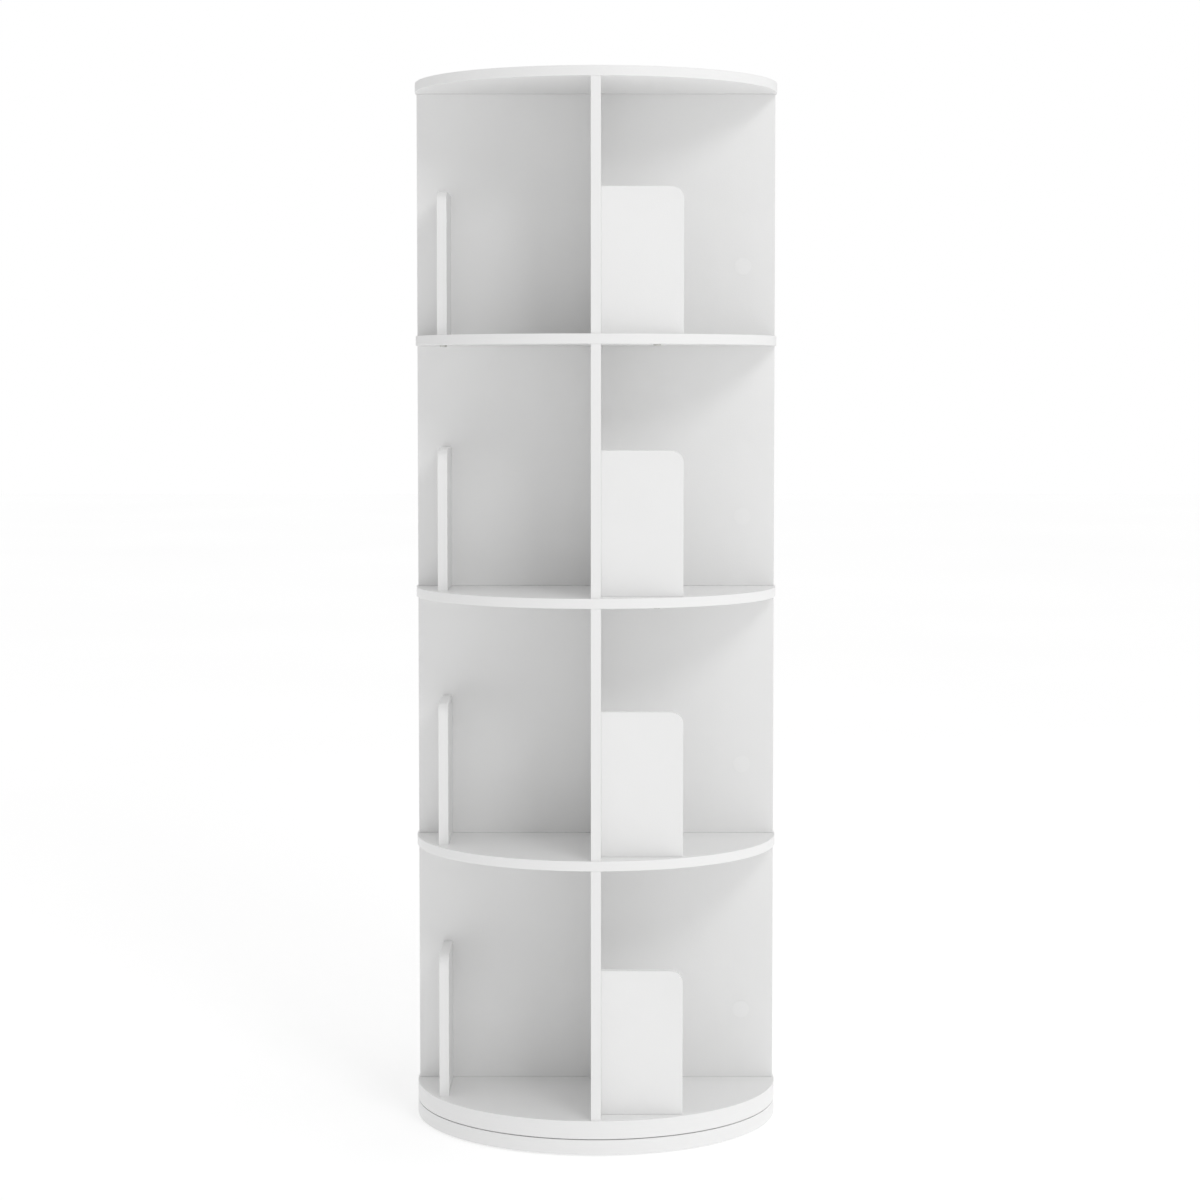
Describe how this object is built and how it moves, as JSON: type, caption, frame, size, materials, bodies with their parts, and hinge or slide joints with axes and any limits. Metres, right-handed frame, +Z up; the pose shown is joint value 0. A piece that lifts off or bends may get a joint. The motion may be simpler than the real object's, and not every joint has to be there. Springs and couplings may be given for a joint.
{
  "type": "revolving bookcase",
  "caption": "Free-standing round bookcase that revolves on a hidden ball-bearing base, with round shelves, crossed dividers and low book stops in white board.",
  "frame": {"origin": "on the floor, on the axis that the case turns about", "axes": "+Z up along the turning axis, -Y towards the viewer of the picture, +X to the viewer's right"},
  "size_m": [0.4499, 0.45, 1.291],
  "materials": {
    "white_board": "white melamine facing on fibreboard, satin",
    "white_edging": "white edging strip, satin",
    "white_sticker": "white vinyl sticker, matt",
    "zinc_steel": "zinc plated",
    "bearing_aluminium": "plain rolled",
    "ball_steel": "polished",
    "retainer_nylon": "natural nylon",
    "beech": "raw beech",
    "pad_rubber": "soft foam rubber"
  },
  "bodies": {
    "base": {"base_board": "white_board", "base_edging": "white_edging", "base_pads": "pad_rubber", "bearing_outer_ring": "bearing_aluminium", "outer_ring_screws": "zinc_steel"},
    "case": {"bearing_inner_ring": "bearing_aluminium", "inner_ring_screws": "zinc_steel", "bottom_deck": "white_board", "deck_skirt": "white_board", "deck_edging": "white_edging", "top_panel": "white_board", "top_edging": "white_edging", "shelf_screws": "zinc_steel", "panel_screws": "zinc_steel", "panel_dowels": "beech", "foot_dowels": "beech", "top_dowels": "beech", "stop_side_screws": "zinc_steel", "stop_foot_screws": "zinc_steel", "screw_stickers": "white_sticker", "cam_bolts": "zinc_steel", "cam_locks": "zinc_steel", "shelf_1": "white_board", "shelf_1_edging": "white_edging", "shelf_2": "white_board", "shelf_2_edging": "white_edging", "shelf_3": "white_board", "shelf_3_edging": "white_edging", "tier_1_cross_panel": "white_board", "tier_1_front_panel": "white_board", "tier_1_rear_panel": "white_board", "tier_1_front_stop": "white_board", "tier_1_right_stop": "white_board", "tier_1_rear_stop": "white_board", "tier_1_left_stop": "white_board", "tier_2_cross_panel": "white_board", "tier_2_front_panel": "white_board", "tier_2_rear_panel": "white_board", "tier_2_front_stop": "white_board", "tier_2_right_stop": "white_board", "tier_2_rear_stop": "white_board", "tier_2_left_stop": "white_board", "tier_3_cross_panel": "white_board", "tier_3_front_panel": "white_board", "tier_3_rear_panel": "white_board", "tier_3_front_stop": "white_board", "tier_3_right_stop": "white_board", "tier_3_rear_stop": "white_board", "tier_3_left_stop": "white_board", "tier_4_cross_panel": "white_board", "tier_4_front_panel": "white_board", "tier_4_rear_panel": "white_board", "tier_4_front_stop": "white_board", "tier_4_right_stop": "white_board", "tier_4_rear_stop": "white_board", "tier_4_left_stop": "white_board"},
    "ball_ring": {"bearing_balls": "ball_steel", "ball_retainer": "retainer_nylon"}
  },
  "joints": [
    {"name": "case_turn", "type": "hinge", "parent": "base", "child": "case", "pos_m": [0, 0, 0.0255], "axis": [0, 0, 1], "continuous": true},
    {"name": "ball_ring_turn", "type": "hinge", "parent": "base", "child": "ball_ring", "pos_m": [0, 0, 0.0255], "axis": [0, 0, 1], "continuous": true}
  ],
  "couplings": [
    {"joint": "ball_ring_turn", "follows": "case_turn", "ratio": 0.49}
  ]
}
